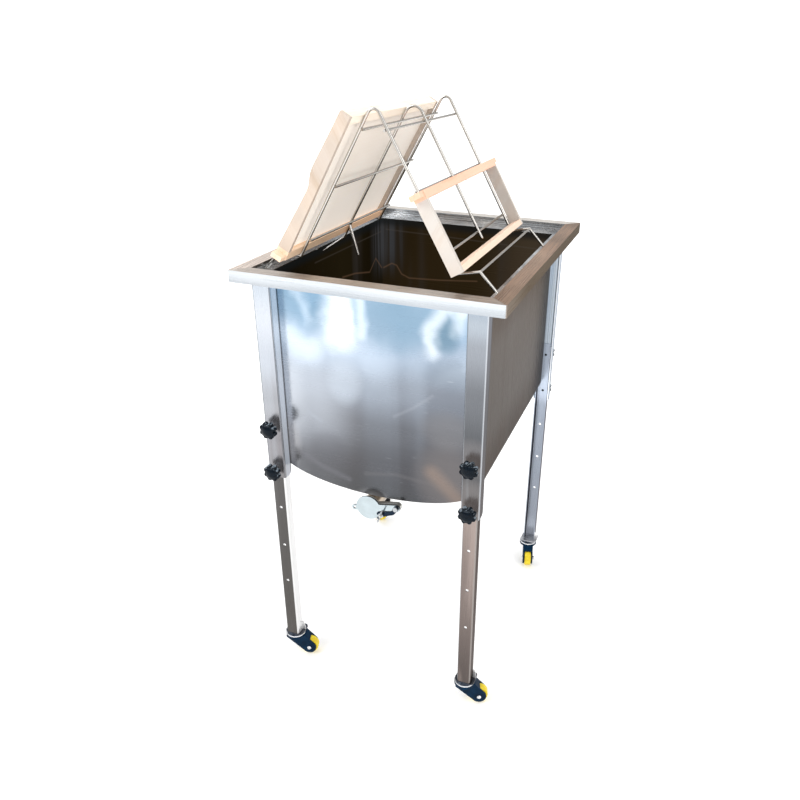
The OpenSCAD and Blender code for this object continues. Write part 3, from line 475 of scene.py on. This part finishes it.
def leg_steel(name, top, bottom, side, fold, flank_edge, lit=None):
    g = Mat(name, 1.0, 0.3)
    x, y, z = g.xyz()
    nx, ny, nz = g.xyz(g.nor)
    # painted light and shade: each leg's own colours from bottom to top
    col = g.ramp(g.range(z, 0.07, 0.60, smooth=False), [(0.0, bottom), (0.55, tuple((a + b) / 2 for a, b in zip(top, bottom))), (1.0, top)])
    # painted reflection: lighter patches
    n = g.noise(g.map((30.0, 30.0, 3.5)), 1.0, 3.0, 0.55, 0.3)
    col = g.mix(g.range(n, 0.46, 0.74, 0.0, 0.28), col, tuple(min(1.0, c * 1.6) for c in top))
    # painted light: the flange that faces right takes the side colour, its bend the fold colour
    right = g.range(nx, 0.80, 0.97)
    bend = g.math("MULTIPLY", g.range(nx, 0.22, 0.50), g.range(nx, 0.985, 0.90))
    col = g.mix(right, col, side)
    col = g.mix(bend, col, fold)
    # faces turned away get a plain grey in place of the painted light
    away = g.math("MAXIMUM", g.range(nx, -0.45, -0.75), g.range(ny, 0.45, 0.75))
    col = g.mix(away, col, (0.300, 0.305, 0.315))
    g.edge(g.mix(g.range(nx, 0.4, 0.9), (0.75, 0.77, 0.80), flank_edge))
    if lit:
        g.glow(lit(g, nx, ny, z))
    g.brushed(col, (650.0, 650.0, 8.0), 0.12, (0.22, 0.38), 0.04)
    return g


def plain_steel(name, colour, rough, mottle=0.14, scale=(90.0, 90.0, 90.0), bump=0.02):
    g = Mat(name, 1.0, rough)
    n = g.noise(g.map(tuple(s * 0.25 for s in scale)), 1.0, 3.0, 0.55)
    col = g.mix(g.range(n, 0.32, 0.68, 0.0, 1.0), tuple(c * (1 - mottle * 2) for c in colour), colour)
    g.brushed(col, scale, mottle * 0.6, (rough * 0.75, rough * 1.25), bump)
    return g


def gate_steel(name, face, rim):
    """Polished flat piece: pale front face of painted reflection; the cut edge and the back are painted darker as
    shade.
    """
    g = Mat(name, 1.0, 0.16)
    nx, ny, nz = g.xyz(g.nor)
    n = g.noise(g.map((22.0, 22.0, 22.0)), 1.0, 3.0, 0.55, 0.4)
    col = g.mix(g.range(n, 0.30, 0.70), tuple(c * 0.86 for c in face), face)
    col = g.mix(g.range(ny, -0.8, -0.6), col, rim)
    g.brushed(col, (30.0, 240.0, 240.0), 0.05, (0.12, 0.24), 0.02)
    return g


paint(rim_steel(), "rim")
paint(ledge_steel(), "rebate_ledge")
paint(shell(), "trough_shell")
paint(panel("front_panel_steel", True), "front_panel")
paint(panel("back_panel_steel", False), "back_panel")
# the sleeves share one steel; their different colours and glows are painted light and reflection
paint(front_sleeve("sleeve_steel_fl",
                   [(0.0, (0.160, 0.150, 0.152)), (0.22, (0.180, 0.172, 0.182)), (0.42, (0.262, 0.268, 0.288)),
                    (0.62, (0.370, 0.395, 0.438)), (0.82, (0.460, 0.486, 0.530)), (1.0, (0.405, 0.450, 0.500))],
                   [(0.0, (0.26, 0.25, 0.25)), (0.5, (0.42, 0.43, 0.45)), (1.0, (0.50, 0.54, 0.58))], 0.25, -0.223, (0.26, 0.29, 0.33), (0.050, 0.048, 0.050), 0.75), "sleeve_front_left")
paint(front_sleeve("sleeve_steel_fr",
                   [(0.0, (0.105, 0.090, 0.082)), (0.12, (0.064, 0.062, 0.062)), (0.35, (0.058, 0.060, 0.065)),
                    (0.60, (0.108, 0.114, 0.126)), (0.82, (0.218, 0.235, 0.264)), (0.92, (0.300, 0.338, 0.382)), (1.0, (0.252, 0.302, 0.358))],
                   [(0.0, (0.130, 0.115, 0.108)), (0.5, (0.120, 0.118, 0.122)), (1.0, (0.170, 0.180, 0.205))], 0.60, 0.223, (0.03, 0.03, 0.03), (0.095, 0.082, 0.078), 0.0), "sleeve_front_right")
paint(back_sleeve("sleeve_steel_back"), "sleeve_back_left", "sleeve_back_right")
# the legs share one steel; their different colours, edge tints and glows are painted light and reflection
paint(leg_steel("leg_steel_fl", (0.092, 0.089, 0.088), (0.096, 0.089, 0.083), (0.62, 0.62, 0.62), (0.62, 0.62, 0.62), (0.95, 0.95, 0.95),
                lambda g, nx, ny, z: g.mix(g.range(nx, 0.30, 0.60), (0, 0, 0), (0.20, 0.20, 0.20))), "leg_front_left", "leg_back_left")
paint(leg_steel("leg_steel_fr", (0.320, 0.262, 0.240), (0.114, 0.095, 0.088), (0.150, 0.132, 0.126), (0.300, 0.276, 0.262), (0.42, 0.40, 0.39)), "leg_front_right")
paint(leg_steel("leg_steel_br", (0.345, 0.390, 0.468), (0.285, 0.310, 0.360), (0.120, 0.120, 0.130), (0.200, 0.210, 0.235), (0.40, 0.40, 0.42),
                lambda g, nx, ny, z: g.mix(g.range(ny, -0.30, -0.70), (0, 0, 0), g.mix(g.range(z, 0.500, 0.540), g.mix(g.range(z, 0.150, 0.085), (0, 0, 0), (0.150, 0.160, 0.185)), (0.230, 0.262, 0.310)))), "leg_back_right")
paint(plain_steel("nut_steel", (0.22, 0.22, 0.23), 0.40), "weld_nuts")
paint(gate_steel("gate_steel", (0.490, 0.560, 0.590), (0.06, 0.07, 0.08)), "gate_plate")
valve = plain_steel("valve_steel", (0.52, 0.52, 0.49), 0.24, 0.14)
# painted light: the valve glows faintly
valve.glow((0.085, 0.082, 0.076))
paint(valve, "valve_body")
pipe = plain_steel("pipe_steel", (0.46, 0.39, 0.31), 0.26, 0.16)
# painted light: the pipe glows faintly
pipe.glow((0.070, 0.056, 0.040))
paint(pipe, "drain_pipe")
paint(plain_steel("clip_steel", (0.016, 0.026, 0.044), 0.26, 0.12), "clamp_clip")
paint(plain_steel("screw_steel", (0.46, 0.48, 0.50), 0.22, 0.14), "pivot_screw", "wing_nut")
paint(plain_steel("axle_steel", (0.86, 0.87, 0.88), 0.20, 0.06), *["axle_" + s for s in SIDES])

wire = plain_steel("wire_steel", (0.62, 0.60, 0.57), 0.21, 0.06, (26.0, 26.0, 26.0), 0)
wire.edge((0.70, 0.68, 0.66))
paint(wire, "hairpin_front", "hairpin_middle", "hairpin_back", "cross_rods", "shelf_rods")


# ---------------------------------------------------------------- plastics and rubber

g = Mat("seal_rubber", 0.0, 0.6)
g.put((0.02, 0.02, 0.02), g.b.inputs["Base Color"])
g.bump(g.noise(g.map((900, 900, 900)), 1.0, 2.0), 0.1, 0.0003)
paint(g, "valve_seal")

g = Mat("knob_plastic", 0.0, 0.2)
n = g.noise(g.map((420, 420, 420)), 1.0, 2.0, 0.5)
g.put(g.mix(g.range(n, 0.3, 0.7), (0.002, 0.004, 0.007), (0.004, 0.009, 0.016)), g.b.inputs["Base Color"])
g.put(g.range(g.noise(g.map((60, 60, 60)), 1.0, 2.0), 0.3, 0.7, 0.10, 0.22), g.b.inputs["Roughness"])
g.b.inputs["Specular IOR Level"].default_value = 0.10
nx, ny, nz = g.xyz(g.nor)
# painted highlight: pale glints on the knobs' upward faces, broken up by noise
painted_glint = g.math("MULTIPLY", g.range(nz, 0.42, 0.70), g.range(g.noise(g.map((150, 150, 150)), 1.0, 2.0), 0.44, 0.60))
g.glow(g.mix(painted_glint, (0, 0, 0), (0.20, 0.235, 0.270)))
g.bump(n, 0.08, 0.0004)
paint(g, *["knob_%s_%s" % (s, l) for s in SIDES for l in ("upper", "lower")])

g = Mat("fork_plastic", 0.0, 0.3)
n = g.noise(g.map((50, 50, 50)), 1.0, 3.0, 0.5)
g.put(g.mix(g.range(n, 0.3, 0.7), (0.0005, 0.012, 0.032), (0.001, 0.022, 0.056)), g.b.inputs["Base Color"])
g.b.inputs["Specular IOR Level"].default_value = 0.07
g.put(g.range(n, 0.3, 0.7, 0.30, 0.44), g.b.inputs["Roughness"])
g.bump(g.noise(g.map((1400, 1400, 1400)), 1.0, 1.0), 0.10, 0.0003)
paint(g, *["fork_" + s for s in SIDES])

g = Mat("wheel_tread", 0.0, 0.42)
x, y, z = g.xyz()
n = g.noise(g.map((70, 70, 70)), 1.0, 3.0, 0.6)
g.put(g.mix(g.range(n, 0.32, 0.70), (0.78, 0.57, 0.010), (0.93, 0.74, 0.025)), g.b.inputs["Base Color"])
g.put(g.range(n, 0.3, 0.7, 0.36, 0.52), g.b.inputs["Roughness"])
g.bump(g.noise(g.map((700, 700, 700)), 1.0, 2.0), 0.08, 0.0004)
paint(g, *["wheel_" + s for s in SIDES])

# top plate: dark plate and housing, bright race ring, bright upright tab
def caster_plate(name, dark, pale):
    g = Mat(name, 0.75, 0.3)
    x, y, z = g.xyz()
    n = g.noise(g.map((60, 60, 60)), 1.0, 3.0, 0.55)
    col = g.mix(g.range(n, 0.3, 0.7), (0.022, 0.030, 0.046), (0.052, 0.066, 0.090))
    plate_top = g.range(z, 0.0688, 0.0692, smooth=False)
    col = g.mix(plate_top, col, g.mix(g.range(n, 0.3, 0.7), dark, pale))
    race = g.range(z, 0.0632, 0.0629, smooth=False)
    col = g.mix(race, col, (0.92, 0.94, 0.97))
    col = g.mix(g.range(z, 0.0722, 0.0728, smooth=False), col, (0.86, 0.86, 0.86))
    g.put(col, g.b.inputs["Base Color"])
    g.put(g.range(n, 0.3, 0.7, 0.22, 0.38), g.b.inputs["Roughness"])
    g.bump(g.noise(g.map((500, 500, 500)), 1.0, 2.0), 0.06, 0.0003)
    return g


# painted light: one plate steel in a dark and a lighter copy; the back right plate is the lighter one
paint(caster_plate("caster_plate_metal", (0.026, 0.030, 0.042), (0.070, 0.076, 0.092)),
      "caster_plate_front_left", "caster_plate_front_right", "caster_plate_back_left")
paint(caster_plate("caster_plate_lit", (0.30, 0.31, 0.33), (0.52, 0.53, 0.56)), "caster_plate_back_right")


# ---------------------------------------------------------------- wood and foundation

LEAN = math.radians(29.4)


def wood(name, pale, dark, along, side):
    """Planed pine: grain along the frame (y) or along the slope (s)."""
    g = Mat(name, 0.0, 0.55)
    # slope coordinates: x runs square to the slope, z along it
    slope = g.map((1, 1, 1), rot=(0, -LEAN if side > 0 else LEAN, 0))
    stretch = (46.0, 2.2, 46.0) if along == "y" else (46.0, 46.0, 2.6)
    grain = g.noise(g.map(stretch, vec=slope), 1.0, 4.0, 0.6, 0.9)
    fine = g.noise(g.map(tuple(s * 6.0 for s in stretch), vec=slope), 1.0, 3.0, 0.6)
    both = g.math("ADD", g.math("MULTIPLY", grain, 0.72), g.math("MULTIPLY", fine, 0.28))
    col = g.ramp(g.range(both, 0.34, 0.68, smooth=False), [(0.0, dark), (0.42, tuple(0.35 * a + 0.65 * b for a, b in zip(dark, pale))), (1.0, pale)])
    flush = g.noise(g.map((7, 4, 7)), 1.0, 2.0)
    col = g.mix(g.range(flush, 0.45, 0.75, 0.0, 0.25), col, (0.94, 0.70, 0.50))
    g.put(col, g.b.inputs["Base Color"])
    g.b.inputs["Specular IOR Level"].default_value = 0.25
    g.put(g.range(both, 0.3, 0.7, 0.62, 0.46), g.b.inputs["Roughness"])
    g.bump(fine, 0.12, 0.0006)
    return g


# each bar's colour is partly its own wood tone and partly painted shade: the side bars are painted darker
paint(wood("wood_large_sides", (0.580, 0.505, 0.445), (0.500, 0.400, 0.315), "s", -1), "large_frame_side_bars")
paint(wood("wood_large_plain", (0.97, 0.890, 0.780), (0.90, 0.740, 0.560), "y", -1), "large_frame_plain_bar")
lug = wood("wood_large_lug", (0.91, 0.715, 0.570), (0.80, 0.555, 0.370), "y", -1)
nx, ny, nz = lug.xyz(lug.nor)
x, y, z = lug.xyz()
# painted light on the lug bar's inner face, stronger towards the back
inner = lug.range(nx, 0.25, 0.55)
lug.glow(lug.mix(inner, (0, 0, 0), lug.mix(lug.range(y, -0.20, 0.02), (0.070, 0.036, 0.006), (0.210, 0.115, 0.060))))
paint(lug, "large_frame_lug_bar")
paint(wood("wood_small_sides", (0.615, 0.585, 0.550), (0.580, 0.525, 0.475), "s", 1), "small_frame_side_bars")
paint(wood("wood_small_lug", (0.93, 0.570, 0.420), (0.86, 0.465, 0.315), "y", 1), "small_frame_lug_bar")
paint(wood("wood_small_plain", (0.92, 0.715, 0.570), (0.86, 0.625, 0.470), "y", 1), "small_frame_plain_bar")

g = Mat("foundation_wax", 0.0, 0.5)
slope = g.map((1, 1, 1), rot=(0, LEAN, 0))
cell = g.t.nodes.new("ShaderNodeTexVoronoi")
cell.feature = "DISTANCE_TO_EDGE"
cell.inputs["Scale"].default_value = 190.0
cell.inputs["Randomness"].default_value = 0.35
g.put(slope, cell.inputs["Vector"])
soft = g.noise(g.map((6, 5, 6)), 1.0, 3.0, 0.5)
col = g.mix(g.range(soft, 0.3, 0.7), (0.84, 0.780, 0.705), (0.89, 0.835, 0.765))
col = g.mix(g.range(cell.outputs[0], 0.0, 0.12, 0.14, 0.0), col, (0.74, 0.62, 0.50))
# painted shade: the outer face is painted darker, and its cell walls darker still
nx, ny, nz = g.xyz(g.nor)
outer = g.range(nx, 0.1, -0.1, smooth=False)
col = g.mix(outer, col, g.mix(g.range(cell.outputs[0], 0.0, 0.16, 0.45, 0.0), (0.615, 0.520, 0.400), (0.470, 0.360, 0.240)))
g.put(col, g.b.inputs["Base Color"])
g.b.inputs["Specular IOR Level"].default_value = 0.2
# daylight that comes through the thin sheet
x, y, z = g.xyz()
through = g.mix(g.range(z, 1.02, 1.20), (0.47, 0.47, 0.475), (0.14, 0.14, 0.14))
g.glow(g.mix(outer, g.mix(1.0, col, through, "MULTIPLY"), (0, 0, 0)))
g.bump(cell.outputs[0], 0.25, 0.0008)
paint(g, "foundation_sheet")


# ---------------------------------------------------------------- soft edges on the CAD pieces

def soften(width, segments, *names):
    for name in names:
        m = NODES[name].modifiers.new("soft_edges", "BEVEL")
        m.width = width
        m.segments = segments
        m.limit_method = "ANGLE"
        m.angle_limit = math.radians(40)
        m.use_clamp_overlap = True
        m.harden_normals = True


soften(0.0009, 2, "large_frame_lug_bar", "large_frame_plain_bar", "large_frame_side_bars",
       "small_frame_lug_bar", "small_frame_plain_bar", "small_frame_side_bars")


# ---------------------------------------------------------------- floor, light, camera

bpy.ops.mesh.primitive_plane_add(size=60, location=(0, 0, -0.0004))
floor = bpy.context.object
floor.name = "floor"
g = Mat("floor_white", 0.0, 0.8)
g.put((0.93, 0.93, 0.93), g.b.inputs["Base Color"])
g.b.inputs["Specular IOR Level"].default_value = 0.0
x, y, z = g.xyz()
far = g.math("SQRT", g.math("ADD", g.math("MULTIPLY", x, x), g.math("MULTIPLY", y, y)))
lift = g.range(far, 0.5, 3.0, 0.15, 0.75)
white = g.t.nodes.new("ShaderNodeCombineColor")
for i in range(3):
    g.put(lift, white.inputs[i])
g.glow(white.outputs[0])
floor.data.materials.append(g.m)

world = bpy.data.worlds.new("studio")
SCENE.world = world
world.use_nodes = True
wt = world.node_tree
bg = wt.nodes["Background"]
wc = wt.nodes.new("ShaderNodeTexCoord")
ws = wt.nodes.new("ShaderNodeSeparateXYZ")
wt.links.new(wc.outputs["Generated"], ws.inputs[0])
wr = wt.nodes.new("ShaderNodeValToRGB")
wr.color_ramp.interpolation = "EASE"
we = wr.color_ramp.elements
for p, c in ((0.25, (0.86, 0.88, 0.90)), (0.50, (0.62, 0.63, 0.65)), (0.60, (0.90, 0.91, 0.92)), (0.80, (1.0, 1.0, 1.0))):
    e = we.new(p)
    e.color = (*c, 1.0)
we[0].color = (0.9, 0.9, 0.9, 1.0)
we[-1].color = (1.0, 1.0, 1.0, 1.0)
wm = wt.nodes.new("ShaderNodeMath")
wm.operation = "MULTIPLY_ADD"
wt.links.new(ws.outputs[2], wm.inputs[0])
wm.inputs[1].default_value = 0.5
wm.inputs[2].default_value = 0.5
wt.links.new(wm.outputs[0], wr.inputs[0])
# the camera sees plain white behind the object
wl = wt.nodes.new("ShaderNodeLightPath")
wx = wt.nodes.new("ShaderNodeMix")
wx.data_type = "RGBA"
wt.links.new(wl.outputs["Is Camera Ray"], wx.inputs[0])
wt.links.new(wr.outputs[0], wx.inputs[6])
wx.inputs[7].default_value = (1.40, 1.40, 1.40, 1.0)
wt.links.new(wx.outputs[2], bg.inputs[0])
bg.inputs[1].default_value = 0.80


def area(name, loc, target, size, power, colour=(1, 1, 1)):
    d = bpy.data.lights.new(name, "AREA")
    d.shape = "RECTANGLE"
    d.size, d.size_y = size
    d.energy = power
    d.color = colour
    o = bpy.data.objects.new(name, d)
    SCENE.collection.objects.link(o)
    o.location = loc
    o.rotation_euler = (Vector(target) - Vector(loc)).to_track_quat("-Z", "Y").to_euler()
    return o


area("key", (-2.4, -2.6, 3.0), (0, 0, 0.8), (1.8, 1.8), 76, (1.0, 0.99, 0.97))
area("fill", (2.8, -1.6, 2.2), (0, 0, 0.8), (1.6, 2.0), 31, (1.0, 0.97, 0.93))
area("top", (0.2, 0.6, 3.4), (0, 0, 1.0), (3.6, 3.6), 43)
area("back", (-3.2, 1.8, 2.6), (0, 0, 0.9), (1.8, 1.6), 32, (0.97, 0.98, 1.0))

yaw, pitch, roll = 0.342519, 0.454182, 0.0166919
focal, px, py = 738.28, 436.98, 403.24
f = Vector((math.sin(-yaw) * math.cos(pitch), math.cos(yaw) * math.cos(pitch), -math.sin(pitch)))
r = f.cross(Vector((0, 0, 1))).normalized()
u = r.cross(f)
r2 = math.cos(roll) * r + math.sin(roll) * u
u2 = -math.sin(roll) * r + math.cos(roll) * u
cam = bpy.data.cameras.new("camera")
cam.sensor_fit = "HORIZONTAL"
cam.sensor_width = 36.0
cam.lens = focal * 36.0 / 800.0
cam.shift_x = (400.0 - px) / 800.0
cam.shift_y = (py - 400.0) / 800.0
cam.clip_start, cam.clip_end = 0.01, 100.0
camera = bpy.data.objects.new("camera", cam)
SCENE.collection.objects.link(camera)
back_dir = -f
rows = Matrix(((r2.x, u2.x, back_dir.x, 0.5751), (r2.y, u2.y, back_dir.y, -1.5275), (r2.z, u2.z, back_dir.z, 1.3951), (0, 0, 0, 1)))
camera.matrix_world = rows
SCENE.camera = camera

SCENE.view_settings.view_transform = "Standard"
SCENE.view_settings.look = "None"

bpy.context.view_layer.update()
